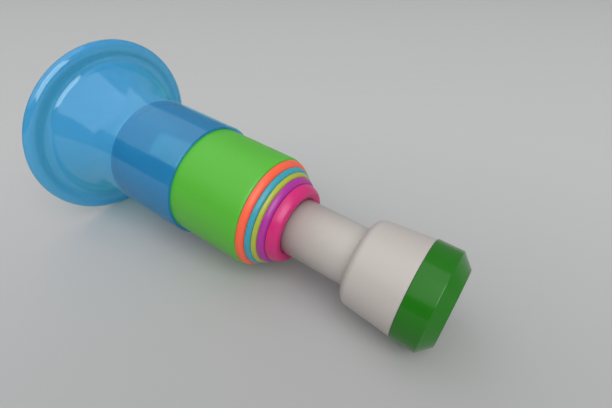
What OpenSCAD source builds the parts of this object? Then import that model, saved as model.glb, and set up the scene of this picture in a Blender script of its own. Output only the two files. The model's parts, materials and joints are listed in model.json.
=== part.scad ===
// Pull-out toy trumpet, pushed together and lying on its side.
// Six plastic tubes slide inside one another, from the bell down to the mouthpiece.
// Millimetres. +X runs from the bell towards the mouthpiece and +Z is up. The trumpet
// rests on the roll of its rim and on the corner of its end cap, at z = 0.

/* [Bell] */
// Diameter over the rolled rim
bell_d = 92; // [84:1:110]
// Radius of the roll round the rim
rim_roll_r = 3.7; // [2.6:0.1:4.4]
// How far the roll turns past its crown, down to the valley
rim_turn = 38; // [25:1:50]
// Radius of the soft valley between the roll and the flare
valley_r = 3.35; // [2:0.05:4.5]
// Angle between the flare and the axis where it leaves the valley
flare_angle = 26; // [20:1:34]
// How long the flare keeps that angle
flare_rim_pull = 12; // [8:0.5:14]
// How long before the neck the flare has straightened
flare_neck_pull = 16; // [10:0.5:18]
// Distance from the rim's plane to the neck
neck_at = 34; // [32:0.5:46]
// Wall of the flare and of the roll
bell_wall = 1.2; // [1:0.1:1.5]
// Outer diameter of the straight sleeve
sleeve_d = 53.6; // [50:0.2:60]
// Length of the sleeve from the neck to its end
sleeve_len = 38.6; // [28:0.5:46]
// Wall of the sleeve
sleeve_wall = 0.75; // [0.6:0.05:1]
// Width of the ledge in the neck that stops the tubes
neck_ledge = 1.1; // [0.8:0.1:2]
// Thickness of that ledge along the axis
neck_ledge_len = 1.4; // [1:0.1:2]

/* [Sections] */
// Wall of the sliding tubes
tube_wall = 0.8; // [0.6:0.05:1]
// Length of the largest tube
green_len = 74; // [60:0.5:84]
// Length of the orange head
orange_head = 3; // [2:0.1:5]
// Length of the cyan head
cyan_head = 2.2; // [1.8:0.1:4]
// Length of the lime head
lime_head = 1.8; // [1.6:0.1:4]
// Length of the purple head
purple_head = 2.6; // [1.8:0.1:4]
// Length of the pink tube's round shoulder
pink_head = 4.75; // [3:0.05:6]
// How far a head stands proud of its own tube
head_proud = 0.7; // [0.5:0.05:0.9]
// Round at the end of the largest tube, along the axis
green_round = 2.5; // [1.5:0.1:4]
// Thickness of each tube's inward lip
lip_len = 1.2; // [0.8:0.1:1.5]
// Length of the collar at each tube's bell end
collar_len = 3; // [2:0.1:5]
// Chamfer on the edges of a collar
collar_chamfer = 0.2; // [0.1:0.05:0.25]

/* [Catches] */
// How far the green collar overlaps the sleeve's lip
green_catch = 0.35; // [0.25:0.05:0.6]
// How far the orange collar overlaps the green lip
orange_catch = 0.3; // [0.25:0.05:0.6]
// How far the cyan collar overlaps the orange lip
cyan_catch = 0.9; // [0.3:0.05:1.1]
// How far the lime collar overlaps the cyan lip
lime_catch = 0.3; // [0.25:0.05:0.6]
// How far the purple collar overlaps the lime lip
purple_catch = 0.3; // [0.25:0.05:0.6]
// How far the pink collar overlaps the purple lip
pink_catch = 0.9; // [0.3:0.05:1.1]

/* [Clearances] */
// Radial gap between two sliding tubes
slide_gap = 0.15; // [0.1:0.01:0.2]
// Gap between faces that stop against each other
stop_gap = 0.15; // [0.05:0.05:0.3]

/* [Mouthpiece] */
// How far the stem is set in from the outside of the pink tube
stem_step = 4.7; // [4:0.1:7]
// Visible length of the stem, from the pink shoulder to the cup
stem_len = 30.05; // [22:0.05:40]
// Wall of the stem and the cup
mouth_wall = 1.4; // [1:0.1:1.8]
// Depth of the stem's seat in the pink tube
stem_seat = 8; // [5:0.5:12]
// Wall of the seat's tube
seat_wall = 1.2; // [0.8:0.1:1.6]
// Dip of the pink shoulder down to the stem
shoulder_dip = 1.1; // [0.5:0.1:2]
// Fillet where the stem runs into the cup
stem_fillet = 0.7; // [0.4:0.1:1.2]
// Diameter of the cup behind its round shoulder
cup_start_d = 36.8; // [34:0.2:39]
// Diameter of the cup at the cap
cup_end_d = 40.2; // [39.4:0.2:44]
// Length of the cup that shows
cup_len = 23.3; // [18:0.5:32]
// Length of the round on the cup's shoulder, along the axis
cup_round = 3.8; // [2:0.1:6]

/* [End cap] */
// How far the cap stands proud of the cup
cap_proud = 0.4; // [0.2:0.05:0.8]
// Length of the cap's barrel
cap_barrel = 9.9; // [7:0.1:14]
// Length of the chamfer along the axis
cap_chamfer_len = 4.8; // [3:0.1:6]
// Depth of the chamfer towards the axis
cap_chamfer_in = 5.1; // [3:0.1:6]
// Wall of the cap's skirt
cap_skirt_wall = 1.2; // [0.9:0.1:1.6]
// Length of the cup's spigot inside the cap
spigot_len = 6.5; // [4:0.5:7]
// Width of the flat ring round the mouth
cap_land = 2.4; // [1.5:0.1:3]
// Depth of the dish down to the blow hole
dish_depth = 3.2; // [2:0.1:4]
// Diameter of the blow hole
blow_hole_d = 9; // [6:0.5:11]
// Length of the blow hole's wall
blow_hole_len = 2; // [1.5:0.1:3]

/* [Reed] */
// Length of the reed body's plug in the stem
reed_plug_len = 8; // [5:0.5:12]
// Thickness of the reed body's flange
reed_flange_len = 1.5; // [1:0.1:2.5]
// Width of the flange past the stem's bore
reed_flange_lip = 1.6; // [1:0.1:2.4]
// Diameter of the reed tube
reed_tube_d = 9; // [8:0.2:10]
// Length of the reed tube past the flange
reed_tube_len = 15; // [12:0.5:16]
// Diameter of the air channel in the reed tube
reed_bore_d = 5; // [4:0.2:5.4]
// Thickness of the reed tube's closed tip
reed_tip = 1.4; // [1:0.1:2]
// Height of the flat table above the tube's axis
reed_table = 1.2; // [0.8:0.1:1.8]
// Width of the tongue
tongue_w = 6.4; // [5.6:0.1:6.6]
// Thickness of the tongue
tongue_t = 0.3; // [0.2:0.05:0.4]
// How far the tongue's tip stands off the table
tongue_lift = 0.5; // [0.3:0.1:0.8]
// Length of the clamping ring
clamp_len = 3.4; // [2.5:0.1:4]
// Wall of the clamping ring
clamp_wall = 1.2; // [0.8:0.1:1.6]

/* [Hidden] */
$fn = 128;
// Straight steps in a quarter round and in the flare
arc_steps = 10;
flare_steps = 20;
// Overrun of a cut past the face that it opens
cut_over = 0.5;

// Bell: the roll's centre is on the rim's plane, so the rim ends in a flat edge
bell_r = bell_d / 2;
roll_at_r = bell_r - rim_roll_r;
roll_in_r = rim_roll_r - bell_wall;
sleeve_r = sleeve_d / 2;
sleeve_in_r = sleeve_r - sleeve_wall;
sleeve_end = neck_at + sleeve_len;
// The valley's centre lies past the end of the roll, straight out from the roll's centre
valley_mid = [roll_at_r, 0] + (rim_roll_r + valley_r) * [-sin(rim_turn), cos(rim_turn)];

// Tubes: each one's size follows from the tube that it slides in, and the largest has no head
catches = [green_catch, orange_catch, cyan_catch, lime_catch, purple_catch, pink_catch];
heads = [0, orange_head, cyan_head, lime_head, purple_head, pink_head];
function tube_r(i) = outer_bore_r(i) - catches[i] - 2 * slide_gap;
function outer_bore_r(i) = i == 0 ? sleeve_in_r : tube_r(i - 1) - tube_wall;
function collar_r(i) = outer_bore_r(i) - slide_gap;
function hole_r(i) = tube_r(i) + slide_gap;
function head_r(i) = tube_r(i) + head_proud;
tube_start = neck_at + stop_gap;
function tube_end(i) = i == 0 ? tube_start + green_len : tube_end(i - 1) + heads[i];
PINK = len(heads) - 1;

// Mouthpiece and cap, along the axis
stem_r = tube_r(PINK) - stem_step;
stem_bore_r = stem_r - mouth_wall;
shoulder_crown = tube_end(PINK);
stem_out_at = shoulder_crown - shoulder_dip;
stem_start = stem_out_at - stem_seat;
cup_at = stem_out_at + stem_len;
cup_end = cup_at + cup_len;
cap_at = cup_end + stop_gap;
cap_r = cup_end_d / 2 + cap_proud;
spigot_r = cap_r - cap_skirt_wall;
cap_corner = cap_at + cap_barrel;
cap_end = cap_corner + cap_chamfer_len;
cap_face_r = cap_r - cap_chamfer_in;
blow_hole_r = blow_hole_d / 2;
cap_roof = cap_end - dish_depth - blow_hole_len;

// Reed, along the axis
cup_floor = cup_at + mouth_wall;
reed_root = cup_floor + reed_flange_len;
reed_end = reed_root + reed_tube_len;
reed_tube_r = reed_tube_d / 2;
clamp_r = reed_tube_r + clamp_wall;

// Lie of the trumpet: the rim's roll and the cap's corner both touch the floor
reach = norm([cap_corner, roll_at_r - cap_r]);
tilt = atan2(roll_at_r - cap_r, cap_corner) + asin(rim_roll_r / reach);
axis_z = roll_at_r * cos(tilt) + rim_roll_r;
rearmost = -bell_r * sin(tilt);
foremost = cap_end * cos(tilt) + cap_face_r * sin(tilt);
axis_x = -(rearmost + foremost) / 2;

// Points of an ellipse's arc, each [radius, distance along the axis]
function arc_points(mid, size, from, to) = [for (k = [0:arc_steps])
    let (a = from + (to - from) * k / arc_steps)
    [mid[0] + size[0] * cos(a), mid[1] + size[1] * sin(a)]];

// The same points without the first one, which the piece of outline before them ends in
function after_first(points) = [for (k = [1:len(points) - 1]) points[k]];

// Points of the valley's arc, from the roll to the flare
function valley_points(size) = arc_points(valley_mid, [size, size], rim_turn - 90, flare_angle - 180);
function reversed(points) = [for (k = [1:len(points)]) points[len(points) - k]];

// Point and direction of the flare's curve at t from 0 to 1
flare_start = valley_mid - valley_r * [cos(flare_angle), sin(flare_angle)];
flare_pull = [
    flare_start,
    flare_start + flare_rim_pull * [-sin(flare_angle), cos(flare_angle)],
    [sleeve_r, neck_at - flare_neck_pull],
    [sleeve_r, neck_at]];
function flare_at(t) = pow(1 - t, 3) * flare_pull[0] + 3 * pow(1 - t, 2) * t * flare_pull[1]
    + 3 * (1 - t) * pow(t, 2) * flare_pull[2] + pow(t, 3) * flare_pull[3];
function flare_way(t) = pow(1 - t, 2) * (flare_pull[1] - flare_pull[0])
    + 2 * (1 - t) * t * (flare_pull[2] - flare_pull[1]) + pow(t, 2) * (flare_pull[3] - flare_pull[2]);
// The same curve moved inwards by the wall
function flare_in(t) = let (way = flare_way(t) / norm(flare_way(t)))
    flare_at(t) + bell_wall * [-way[1], way[0]];

// Turns an outline of [radius, distance along the axis] and lays it in place
module lathe(outline) {
    lay() rotate_extrude() polygon(outline);
}

// Moves a piece from the trumpet's own axis to where it lies
module lay() {
    translate([axis_x, 0, axis_z]) rotate([0, 90 + tilt, 0]) children();
}

// Rolled rim, flare, neck with its ledge and sleeve with its inward lip, in one moulding
module bell() {
    ledge_r = sleeve_in_r - neck_ledge;
    ledge_at = neck_at - neck_ledge_len;
    flare_inside = [for (k = [1:flare_steps]) flare_in(k / flare_steps)];
    inner = [for (point = flare_inside) if (point[1] < ledge_at) point];
    color([0.2, 0.5, 0.85]) lathe(concat(
        arc_points([roll_at_r, 0], [rim_roll_r, rim_roll_r], 0, 90 + rim_turn),
        after_first(valley_points(valley_r)),
        [for (k = [1:flare_steps]) flare_at(k / flare_steps)],
        [[sleeve_r, sleeve_end - lip_len / 2]],
        [[sleeve_r - lip_len / 4, sleeve_end]],
        [[hole_r(0), sleeve_end], [hole_r(0), sleeve_end - lip_len]],
        [[sleeve_in_r, sleeve_end - lip_len], [sleeve_in_r, neck_at]],
        [[ledge_r, neck_at], [ledge_r, ledge_at]],
        reversed(inner),
        reversed(valley_points(valley_r + bell_wall)),
        after_first(arc_points([roll_at_r, 0], [roll_in_r, roll_in_r], 90 + rim_turn, 0))));
}

// Collar at a tube's bell end, as the outline's points from the bore outwards
function collar_points(i) = [
    [tube_r(i) - tube_wall, tube_start],
    [collar_r(i) - collar_chamfer, tube_start],
    [collar_r(i), tube_start + collar_chamfer],
    [collar_r(i), tube_start + collar_len - collar_chamfer],
    [collar_r(i) - collar_chamfer, tube_start + collar_len],
    [tube_r(i), tube_start + collar_len]];

// Lip that catches the next tube's collar, from its hole back to the bore
function lip_points(i) = [
    [hole_r(i + 1), tube_end(i)],
    [hole_r(i + 1), tube_end(i) - lip_len],
    [tube_r(i) - tube_wall, tube_end(i) - lip_len]];

// The largest tube, with a plain round end
module green_section() {
    green_r = tube_r(0);
    round_in = green_r - head_r(1);
    color([0.42, 0.74, 0.32]) lathe(concat(
        collar_points(0),
        arc_points([green_r - round_in, tube_end(0) - green_round], [round_in, green_round], 0, 90),
        lip_points(0)));
}

// A smaller tube, whose head seats on the end of the tube round it
module section(i) {
    head_at = tube_end(i - 1) + stop_gap;
    head_len = tube_end(i) - head_at;
    round_in = head_r(i) - head_r(i + 1);
    lathe(concat(
        collar_points(i),
        [[tube_r(i), head_at]],
        arc_points([head_r(i) - round_in, head_at], [round_in, head_len], 0, 90),
        lip_points(i)));
}

module orange_section() { color([0.96, 0.42, 0.31]) section(1); }
module cyan_section() { color([0.24, 0.59, 0.69]) section(2); }
module lime_section() { color([0.65, 0.75, 0.24]) section(3); }
module purple_section() { color([0.59, 0.2, 0.63]) section(4); }

// The smallest tube, with a round shoulder that turns in to the seat of the stem
module pink_section() {
    head_at = tube_end(PINK - 1) + stop_gap;
    bore_r = tube_r(PINK) - tube_wall;
    seat_r = stem_r + seat_wall;
    crown_r = (head_r(PINK) + stem_r) / 2;
    wall_at = head_at - lip_len;
    color([0.85, 0.28, 0.52]) lathe(concat(
        collar_points(PINK),
        [[tube_r(PINK), head_at]],
        arc_points([crown_r, head_at], [head_r(PINK) - crown_r, shoulder_crown - head_at], 0, 90),
        arc_points([crown_r, stem_out_at], [crown_r - stem_r, shoulder_dip], 90, 180),
        [[stem_r, stem_start], [seat_r, stem_start], [seat_r, wall_at]],
        [[bore_r, wall_at]]));
}

// Hollow stem and cup in one moulding, with a spigot for the cap
module mouthpiece() {
    cup_start_r = cup_start_d / 2;
    cup_end_r = cup_end_d / 2;
    shoulder_r = stem_r + stem_fillet;
    floor_r = cup_start_r - cup_round;
    color([0.79, 0.76, 0.74]) lathe(concat(
        [[stem_bore_r, stem_start], [stem_r, stem_start]],
        arc_points([shoulder_r, cup_at - stem_fillet], [stem_fillet, stem_fillet], 180, 90),
        arc_points([shoulder_r, cup_at + cup_round], [cup_start_r - shoulder_r, cup_round], -90, 0),
        [[cup_end_r, cup_end], [spigot_r, cup_end], [spigot_r, cup_end + spigot_len]],
        [[spigot_r - mouth_wall, cup_end + spigot_len], [spigot_r - mouth_wall, cup_end]],
        [[cup_start_r - mouth_wall, cup_at + cup_round], [floor_r, cup_floor]],
        [[stem_bore_r, cup_floor]]));
}

// Chamfered cap with a dished face round the blow hole
module end_cap() {
    dish_r = cap_face_r - cap_land;
    color([0.21, 0.52, 0.15]) lathe(concat(
        [[spigot_r, cap_at], [cap_r, cap_at], [cap_r, cap_corner], [cap_face_r, cap_end]],
        arc_points([dish_r, cap_end - dish_depth], [dish_r - blow_hole_r, dish_depth], 90, 180),
        [[blow_hole_r, cap_roof], [spigot_r - mouth_wall, cap_roof]],
        [[spigot_r, cup_end + spigot_len + stop_gap]]));
}

// Plug, flange and half-open reed tube with a flat table along its side
module reed_body() {
    flange_r = stem_bore_r + reed_flange_lip;
    bore_r = reed_bore_d / 2;
    plug_start = cup_floor - reed_plug_len;
    color([0.9, 0.88, 0.82]) lay() difference() {
        union() {
            translate([0, 0, plug_start]) cylinder(r = stem_bore_r, h = reed_plug_len);
            translate([0, 0, cup_floor]) cylinder(r = flange_r, h = reed_flange_len);
            translate([0, 0, cup_floor]) cylinder(r = reed_tube_r, h = reed_end - cup_floor);
        }
        translate([0, 0, plug_start - cut_over])
            cylinder(r = bore_r, h = reed_end - reed_tip - plug_start + cut_over);
        translate([-reed_tube_d, -reed_tube_d, reed_root])
            cube([reed_tube_d - reed_table, 2 * reed_tube_d, reed_tube_len + cut_over]);
    }
}

// Springy strip on the table, lifted at its free tip
module reed_tongue() {
    tongue_len = reed_tube_len - tongue_t;
    color([0.75, 0.6, 0.3]) lay()
        translate([-reed_table, tongue_w / 2, reed_root]) rotate([90, 0, 0])
            linear_extrude(height = tongue_w) polygon([
                [0, 0],
                [0, clamp_len],
                [-tongue_lift, tongue_len],
                [-tongue_lift - tongue_t, tongue_len],
                [-tongue_t, clamp_len],
                [-tongue_t, 0]]);
}

// Ring that holds the tongue's root on the table
module reed_ring() {
    pad_at = -reed_table - tongue_t;
    color([0.3, 0.3, 0.32]) lay() translate([0, 0, reed_root]) difference() {
        cylinder(r = clamp_r, h = clamp_len);
        translate([0, 0, -cut_over]) intersection() {
            cylinder(r = reed_tube_r, h = clamp_len + 2 * cut_over);
            translate([pad_at, -reed_tube_d, 0])
                cube([2 * reed_tube_d, 2 * reed_tube_d, clamp_len + 2 * cut_over]);
        }
    }
}

bell();
green_section();
orange_section();
cyan_section();
lime_section();
purple_section();
pink_section();
mouthpiece();
end_cap();
reed_body();
reed_tongue();
reed_ring();
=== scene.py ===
import json
from math import cos, pi, radians, sin, tan

import bmesh
import bpy
from mathutils import Matrix, Vector


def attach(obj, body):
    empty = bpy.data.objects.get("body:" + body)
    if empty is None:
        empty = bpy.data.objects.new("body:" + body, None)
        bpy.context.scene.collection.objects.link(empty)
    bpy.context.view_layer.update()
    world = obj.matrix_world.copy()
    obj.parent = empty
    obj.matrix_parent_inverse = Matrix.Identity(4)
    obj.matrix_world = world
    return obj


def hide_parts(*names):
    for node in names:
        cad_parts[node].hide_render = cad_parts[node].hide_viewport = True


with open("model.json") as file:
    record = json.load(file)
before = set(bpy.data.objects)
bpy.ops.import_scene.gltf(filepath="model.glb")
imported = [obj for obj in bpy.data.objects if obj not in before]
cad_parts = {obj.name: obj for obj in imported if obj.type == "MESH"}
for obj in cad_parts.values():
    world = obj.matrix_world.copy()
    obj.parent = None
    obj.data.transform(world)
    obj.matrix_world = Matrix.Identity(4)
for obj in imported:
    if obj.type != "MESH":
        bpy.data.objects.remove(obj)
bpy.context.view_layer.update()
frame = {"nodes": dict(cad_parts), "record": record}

MM = 0.001
scene = bpy.context.scene

# The trumpet's own axis, read from the frame: it starts at the rim's plane and runs to the mouth
rim = next(mount for mount in frame["record"]["mounts"] if mount["name"] == "bell_rim")
AXIS = -Vector(rim["axis"]).normalized()
START = Vector((rim["pos_m"][0], 0, rim["pos_m"][2]))
ACROSS = Vector((0, 1, 0))
UP = AXIS.cross(ACROSS)


# --- Shapes ---------------------------------------------------------------

SIDES = 224                     # of each turned piece
ARC_STEPS, FILLET_STEPS = 14, 5
FILLET_SHARE = 0.45             # the most of an edge that one fillet takes
LEAST_SLOPE = 0.05              # keeps a very sharp corner's fillet finite
HOLD, HOLD_SHARE = 0.12, 0.3    # from a fillet to the point that holds it: mm, share of the edge
SAME_POINT = 1e-7


def rounded(outline):
    """Turns corners (along, radius) or (along, radius, fillet), in mm, into points with fillets."""
    points = []
    for k, corner in enumerate(outline):
        here = Vector(corner[:2])
        fillet = corner[2] if len(corner) > 2 else 0
        if not fillet:
            points.append(here)
            continue
        back = Vector(outline[k - 1][:2]) - here
        on = Vector(outline[(k + 1) % len(outline)][:2]) - here
        slope = abs(tan(back.angle(on) / 2))
        reach = min(fillet / max(LEAST_SLOPE, slope),
                    FILLET_SHARE * back.length, FILLET_SHARE * on.length)
        back_way, on_way = back.normalized(), on.normalized()
        first, last = here + back_way * reach, here + on_way * reach
        points.append(first + back_way * min(HOLD, HOLD_SHARE * (back.length - reach)))
        for j in range(FILLET_STEPS + 1):
            t = j / FILLET_STEPS
            points.append(first * (1 - t) ** 2 + here * 2 * t * (1 - t) + last * t ** 2)
        points.append(last + on_way * min(HOLD, HOLD_SHARE * (on.length - reach)))
    return points


def around(mid, size, angle):
    """The point of an ellipse round mid = (along, radius) at an angle in degrees, 0 outwards."""
    return (mid[0] + size[0] * sin(radians(angle)), mid[1] + size[1] * cos(radians(angle)))


def arc(mid, size, start, stop, steps=ARC_STEPS):
    """The points of such an ellipse from start to stop."""
    return [around(mid, size, start + (stop - start) * k / steps) for k in range(steps + 1)]


def lathe(name, outline, body, node, material):
    """Turns a closed outline about the trumpet's axis and lets it stand for a CAD node."""
    points = rounded(outline)
    count = len(points)
    verts, faces = [], []
    for i in range(SIDES):
        angle = 2 * pi * i / SIDES
        out = UP * cos(angle) + ACROSS * sin(angle)
        verts += [START + AXIS * (along * MM) + out * (radius * MM) for along, radius in points]
        here, there = i * count, (i + 1) % SIDES * count
        for k in range(count):
            m = (k + 1) % count
            faces.append((here + k, here + m, there + m, there + k))
    mesh = bpy.data.meshes.new(name)
    mesh.from_pydata(verts, [], faces)
    shape = bmesh.new()
    shape.from_mesh(mesh)
    bmesh.ops.remove_doubles(shape, verts=shape.verts, dist=SAME_POINT)
    bmesh.ops.recalc_face_normals(shape, faces=shape.faces)
    shape.to_mesh(mesh)
    shape.free()
    for face in mesh.polygons:
        face.use_smooth = True
    mesh.materials.append(material)
    piece = bpy.data.objects.new(name, mesh)
    scene.collection.objects.link(piece)
    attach(piece, body)
    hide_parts(node)


# --- Materials ------------------------------------------------------------

GRAIN_DEPTH = 0.2 * MM
GLOW_DEPTH = 0.8 * MM
GLOSSIER, DULLER = 0.85, 1.2    # times the roughness, where the gloss varies
SOFT = 0.6                      # share of the tubes' colour that glows from inside


def add(tree, kind, values=()):
    """A new shader node with some of its inputs set."""
    node = tree.nodes.new("ShaderNode" + kind)
    for name, value in dict(values).items():
        node.inputs[name].default_value = value
    return node


def smooth_step(tree, value, begin, end, low, high):
    """An output that goes smoothly from low to high while value goes from begin to end."""
    step = add(tree, "MapRange",
               {"From Min": begin, "From Max": end, "To Min": low, "To Max": high})
    step.interpolation_type = "SMOOTHSTEP"
    tree.links.new(value, step.inputs["Value"])
    return step.outputs["Result"]


def plastic(name, colour, roughness, bump=0.02, soft=0.0, clear=0.0, tint=(1, 1, 1), ior=1.5):
    """Moulded plastic: fine grain, uneven gloss, a soft glow and, with clear, some see-through."""
    material = bpy.data.materials.new(name)
    material.use_nodes = True
    tree = material.node_tree
    link = tree.links.new
    tree.nodes.clear()
    out = add(tree, "OutputMaterial")
    shader = add(tree, "BsdfPrincipled",
                 {"Base Color": (*colour, 1), "IOR": ior, "Subsurface Weight": soft,
                  "Subsurface Radius": (1, 1, 1), "Subsurface Scale": GLOW_DEPTH})
    where = add(tree, "TexCoord")
    cloud = add(tree, "TexNoise", {"Scale": 60, "Detail": 3})
    gloss = add(tree, "MapRange", {"To Min": roughness * GLOSSIER, "To Max": roughness * DULLER})
    link(where.outputs["Object"], cloud.inputs["Vector"])
    link(cloud.outputs["Fac"], gloss.inputs["Value"])
    link(gloss.outputs["Result"], shader.inputs["Roughness"])
    fine = add(tree, "TexNoise", {"Scale": 900, "Detail": 2})
    grain = add(tree, "Bump", {"Strength": bump, "Distance": GRAIN_DEPTH})
    link(where.outputs["Object"], fine.inputs["Vector"])
    link(fine.outputs["Fac"], grain.inputs["Height"])
    link(grain.outputs["Normal"], shader.inputs["Normal"])
    surface = shader.outputs["BSDF"]
    if clear:
        through = add(tree, "BsdfTransparent", {"Color": (*tint, 1)})
        mix = add(tree, "MixShader", {"Fac": clear})
        link(surface, mix.inputs[1])
        link(through.outputs["BSDF"], mix.inputs[2])
        surface = mix.outputs["Shader"]
    link(surface, out.inputs["Surface"])
    return material


# Name, colour and roughness, then what differs from plain plastic
BLUE = plastic("Bell blue", (0.03, 0.235, 0.74), 0.1, bump=0.004, clear=0.57,
               tint=(0.46, 1.0, 0.96), ior=2.1)
GREEN = plastic("Tube green", (0.09, 0.45, 0.03), 0.4, soft=SOFT)
ORANGE = plastic("Tube orange", (0.9, 0.13, 0.06), 0.34, soft=SOFT)
CYAN = plastic("Tube cyan", (0.04, 0.34, 0.44), 0.34, soft=SOFT)
LIME = plastic("Tube lime", (0.4, 0.45, 0.05), 0.34, soft=SOFT)
PURPLE = plastic("Tube purple", (0.4, 0.027, 0.32), 0.34, soft=SOFT)
PINK = plastic("Tube pink", (0.6, 0.02, 0.18), 0.3, soft=SOFT)
WHITE = plastic("Mouthpiece white", (0.48, 0.445, 0.415), 0.36)
CAP = plastic("Cap green", (0.012, 0.15, 0.005), 0.18, bump=0.012, ior=1.42)
REED = plastic("Reed body", (0.72, 0.68, 0.58), 0.45)
STRIP = plastic("Reed tongue", (0.5, 0.32, 0.1), 0.3)
RING = plastic("Reed ring", (0.06, 0.06, 0.065), 0.5)


# --- The trumpet ----------------------------------------------------------
# In mm: places along the axis from the rim's plane, radii from the axis, and lengths

WALL, LIP, GAP = 1.2, 1.2, 0.15

# Bell: rolled rim, soft valley, flare, sleeve with its lip, and the ledge in the neck
RIM, RIM_R, VALLEY_R = (0, 42.3), 3.7, 3.35
RIM_TURN, SLOPE = 128, 26       # degrees: where the valley takes over from the rim, and the flare
SLOPE_PULL, NECK_PULL = 12, 16  # how far the flare keeps the direction of its two ends
RIM_STEPS, RIM_INSIDE_STEPS, VALLEY_STEPS, FLARE_STEPS = 28, 24, 20, 40
NEARBY = 0.01
NECK = 34
SLEEVE_END, SLEEVE_R, SLEEVE_BORE, LIP_R = 72.6, 26.8, 26.05, 25.55
LEDGE, LEDGE_R, LEDGE_FILLET = 1.4, 24.95, 0.2

valley = around(RIM, (RIM_R + VALLEY_R, RIM_R + VALLEY_R), RIM_TURN)
valley_start, valley_end = RIM_TURN - 180, SLOPE - 180
slope = Vector((cos(radians(SLOPE)), -sin(radians(SLOPE))))
foot = Vector(around(valley, (VALLEY_R, VALLEY_R), valley_end))
pull = (foot, foot + slope * SLOPE_PULL,
        Vector((NECK - NECK_PULL, SLEEVE_R)), Vector((NECK, SLEEVE_R)))


def flare(t):
    """The outside of the flare, from the valley at 0 to the neck at 1."""
    return (pull[0] * (1 - t) ** 3 + pull[1] * 3 * t * (1 - t) ** 2
            + pull[2] * 3 * t * t * (1 - t) + pull[3] * t ** 3)


def flare_inside(t):
    """The same, one wall further in."""
    way = (flare(min(1, t + NEARBY)) - flare(max(0, t - NEARBY))).normalized()
    return flare(t) + Vector((way[1], -way[0])) * WALL


def rim_arc(inset, start, stop, steps):
    """Part of the rim's roll, or with an inset of its inner side."""
    return arc(RIM, (RIM_R - inset, RIM_R - inset), start, stop, steps)


def valley_arc(inset, start, stop):
    """The valley's outer side, or with an inset its inner one."""
    return arc(valley, (VALLEY_R + inset, VALLEY_R + inset), start, stop, VALLEY_STEPS)


shares = [k / FLARE_STEPS for k in range(1, FLARE_STEPS + 1)]
inside = [tuple(p) for p in map(flare_inside, shares) if p[0] < NECK - LEDGE - LEDGE_FILLET]
lathe("look_bell",
      rim_arc(0, 0, RIM_TURN, RIM_STEPS) + valley_arc(0, valley_start, valley_end)[1:]
      + [tuple(flare(t)) for t in shares]
      + [(SLEEVE_END, SLEEVE_R, 0.25), (SLEEVE_END, LIP_R, 0.12), (SLEEVE_END - LIP, LIP_R),
         (SLEEVE_END - LIP, SLEEVE_BORE), (NECK, SLEEVE_BORE, 0.1),
         (NECK, LEDGE_R, LEDGE_FILLET), (NECK - LEDGE, LEDGE_R, LEDGE_FILLET)]
      + inside[::-1] + valley_arc(WALL, valley_end, valley_start)
      + rim_arc(WALL, RIM_TURN, 0, RIM_INSIDE_STEPS)[1:],
      "bell_end", "bell", BLUE)

# The six tubes from the largest. The green tube has no head, only a rounded end
TUBE_R = (25.4, 24.0, 22.0, 20.6, 19.2, 17.2)
BORE_R = (24.6, 23.2, 21.2, 19.8, 18.4, 16.4)
COLLAR_R = (25.9, 24.45, 23.05, 21.05, 19.65, 18.25)
HEAD_R = (25.4, 24.7, 22.7, 21.3, 19.9, 17.9)
TUBE_END = (108.15, 111.15, 113.35, 115.15, 117.75, 122.5)
TUBE_START = NECK + GAP
COLLAR = 3
GREEN_ROUND = 2.5


def tube(name, i, mouth, body, node, material):
    """A sliding tube: its collar, its outside, then mouth, the outline of its mouth end."""
    lathe(name, [(TUBE_START, BORE_R[i]), (TUBE_START, COLLAR_R[i], 0.2),
                 (TUBE_START + COLLAR, COLLAR_R[i], 0.2),
                 (TUBE_START + COLLAR, TUBE_R[i], 0.1)] + mouth,
          body, node, material)


def lipped(i, at):
    """A mouth end that is rounded from at on and turns in to the next tube."""
    end, bore = TUBE_END[i], TUBE_R[i + 1] + GAP
    return (arc((at, HEAD_R[i + 1]), (end - at, HEAD_R[i] - HEAD_R[i + 1]), 0, 90)
            + [(end, bore, 0.1), (end - LIP, bore), (end - LIP, BORE_R[i])])


def head(i):
    """The same, with a head that seats on the end of the tube round it."""
    at = TUBE_END[i - 1] + GAP
    return [(at, TUBE_R[i]), (at, HEAD_R[i], 0.12)] + lipped(i, at)[1:]


tube("look_green", 0, lipped(0, TUBE_END[0] - GREEN_ROUND),
     "green_tube", "green_section", GREEN)
tube("look_orange", 1, head(1), "orange_tube", "orange_section", ORANGE)
tube("look_cyan", 2, head(2), "cyan_tube", "cyan_section", CYAN)
tube("look_lime", 3, head(3), "lime_tube", "lime_section", LIME)
tube("look_purple", 4, head(4), "purple_tube", "purple_section", PURPLE)

# Pink tube: its head is a round shoulder that turns in to the stem's seat
SEAT, STEM_R, STEM_BORE = 113.4, 12.5, 11.1
CROWN_R, CROWN_FALL = 15.2, 1.1
at, end = TUBE_END[4] + GAP, TUBE_END[5]
tube("look_pink", 5,
     [(at, TUBE_R[5]), (at, HEAD_R[5], 0.1)]
     + arc((at, CROWN_R), (end - at, HEAD_R[5] - CROWN_R), 0, 90)[1:]
     + arc((end - CROWN_FALL, CROWN_R), (CROWN_FALL, CROWN_R - STEM_R), 90, 180)[1:]
     + [(SEAT, STEM_R), (SEAT, STEM_R + WALL), (at - WALL, STEM_R + WALL), (at - WALL, BORE_R[5])],
     "mouth_end", "pink_section", PINK)

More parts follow.
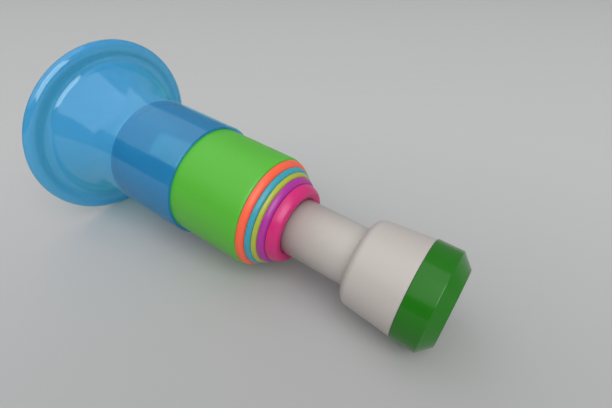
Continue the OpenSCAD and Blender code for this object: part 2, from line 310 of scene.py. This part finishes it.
# Mouthpiece: stem, cup with its round shoulder, and the spigot in the cap
CUP_START, CUP_END, CUP_R, CUP_WALL = 151.45, 174.75, 20.1, 1.4
CUP_FOOT, SHOULDER, SHOULDER_RISE = 0.7, 3.8, 5.2
SPIGOT_END, SPIGOT_R = 181.25, 19.3
FOOT_STEPS, SHOULDER_STEPS = 6, 20
foot_r = STEM_R + CUP_FOOT
cup_bore, spigot_bore = foot_r + SHOULDER_RISE - CUP_WALL, SPIGOT_R - CUP_WALL
lathe("look_mouthpiece",
      [(SEAT, STEM_BORE), (SEAT, STEM_R)]
      + arc((CUP_START - CUP_FOOT, foot_r), (CUP_FOOT, CUP_FOOT), 180, 90, FOOT_STEPS)
      + arc((CUP_START + SHOULDER, foot_r), (SHOULDER, SHOULDER_RISE), -90, 0,
            SHOULDER_STEPS)
      + [(CUP_END, CUP_R, 0.15), (CUP_END, SPIGOT_R), (SPIGOT_END, SPIGOT_R, 0.2),
         (SPIGOT_END, spigot_bore, 0.2), (CUP_END, spigot_bore), (CUP_START + SHOULDER, cup_bore),
         (CUP_START + CUP_WALL, cup_bore - (SHOULDER - CUP_WALL), 0.6),
         (CUP_START + CUP_WALL, STEM_BORE, 0.3)],
      "mouth_end", "mouthpiece", WHITE)

# End cap: barrel, chamfer and the dish round the blow hole
CAP_R, CHAMFER, CAP_END, FACE_R = 20.5, 184.8, 189.6, 15.4
DISH_R, DISH_DEPTH, HOLE_R, CAP_INSIDE = 13.0, 3.2, 4.5, 184.4
lathe("look_cap",
      [(CUP_END + GAP, SPIGOT_R), (CUP_END + GAP, CAP_R, 0.2), (CHAMFER, CAP_R, 0.6),
       (CAP_END, FACE_R, 0.6)]
      + arc((CAP_END - DISH_DEPTH, DISH_R), (DISH_DEPTH, DISH_R - HOLE_R), 90, 180)
      + [(CAP_INSIDE, HOLE_R, 0.3), (CAP_INSIDE, spigot_bore, 0.4), (SPIGOT_END + GAP, SPIGOT_R)],
      "mouth_end", "end_cap", CAP)

# The reed keeps its CAD shapes
for node, material in (("reed_body", REED), ("reed_tongue", STRIP), ("reed_ring", RING)):
    piece = frame["nodes"][node]
    piece.data.materials.clear()
    piece.data.materials.append(material)


# --- Floor, light and camera ----------------------------------------------
# In metres and watts

FLOOR = 6
# Centre of the painted shade on the paper, the point under the camera
PAINTED_SHADE_CENTRE = (0.109, -0.114, 0)

bpy.ops.mesh.primitive_plane_add(size=FLOOR)
floor = bpy.context.object
floor.name = "floor"
# Painted shade replaces the paper's grey below: the photographer shades it under the camera
paper = plastic("Paper", (0.44, 0.44, 0.445), 0.75, bump=0.0)
floor.data.materials.append(paper)
tree = paper.node_tree
way = add(tree, "TexCoord")
off = add(tree, "VectorMath", {1: PAINTED_SHADE_CENTRE})
off.operation = "DISTANCE"
tree.links.new(way.outputs["Object"], off.inputs[0])
# Painted shade: the paper's grey is darkest at that point and lightens outwards
shade = smooth_step(tree, off.outputs["Value"], begin=-0.05, end=0.36, low=0.355, high=0.495)
tree.links.new(shade, tree.nodes["Principled BSDF"].inputs["Base Color"])


def place(thing, at, right, back):
    """Puts a light or a camera at a point, with its back and its right side turned as given."""
    scene.collection.objects.link(thing)
    turned = Matrix((right, back.cross(right), back)).transposed()
    thing.matrix_world = Matrix.Translation(at) @ turned.to_4x4()


def panel(name, at, aim, size, watts):
    """A rectangular light that faces aim."""
    data = bpy.data.lights.new(name, "AREA")
    data.shape = "RECTANGLE"
    data.size, data.size_y = size
    data.energy = watts
    back = (Vector(at) - Vector(aim)).normalized()
    right = (Vector((1, 0, 0)) - back * back.x).normalized()
    place(bpy.data.objects.new(name, data), at, right, back)


# The window's place and tilt come from its reflections on the flare and on the cap, those of the
# weaker lights from the shadows and from the sleeve
AWAY = 6
toward = Vector((-0.231, -0.428, 0.874))
sill = Vector((0.973, -0.1016, 0.2074))
rise = toward.cross(sill)
for name, along, up, size, watts in (("window", 1.44, 0.3, (7.92, 9.6), 215),
                                     ("curtain", -4.6, 3.5, (4.2, 12.2), 105)):
    at = toward * AWAY + sill * along + rise * up
    panel(name, at, at - toward, size, watts)
panel("window_right", (3.6, -2.64, 3.9), (0, 0, 0), (6, 4.8), 300)

# The room: dim, and paler on the far side
PALE_SIDE, ROOM_COLOUR = (-0.2, 0.92, 0.34), (0.96, 0.98, 1, 1)
world = bpy.data.worlds.new("Room")
scene.world = world
world.use_nodes = True
tree = world.node_tree
way = add(tree, "TexCoord")
side = add(tree, "VectorMath", {1: PALE_SIDE})
side.operation = "DOT_PRODUCT"
tree.links.new(way.outputs["Generated"], side.inputs[0])
strength = smooth_step(tree, side.outputs["Value"], begin=-0.3, end=0.7, low=0.1, high=0.34)
room = tree.nodes["Background"]
tree.links.new(strength, room.inputs["Strength"])
room.inputs["Color"].default_value = ROOM_COLOUR

# The camera's place and lens come from a fit of the trumpet's circles to the photo
EYE = (0.10923, -0.11414, 0.12975)
LENS, SENSOR, NEAREST = 23.877, 36, 0.005
camera = bpy.data.objects.new("camera", bpy.data.cameras.new("camera"))
camera.data.lens = LENS
camera.data.sensor_width = SENSOR
camera.data.clip_start = NEAREST
forward = Vector((-0.46849, 0.69905, -0.54023)).normalized()
place(camera, EYE, forward.cross(Vector((0, 0, 1))).normalized(), -forward)
scene.camera = camera
scene.view_settings.view_transform = "Standard"
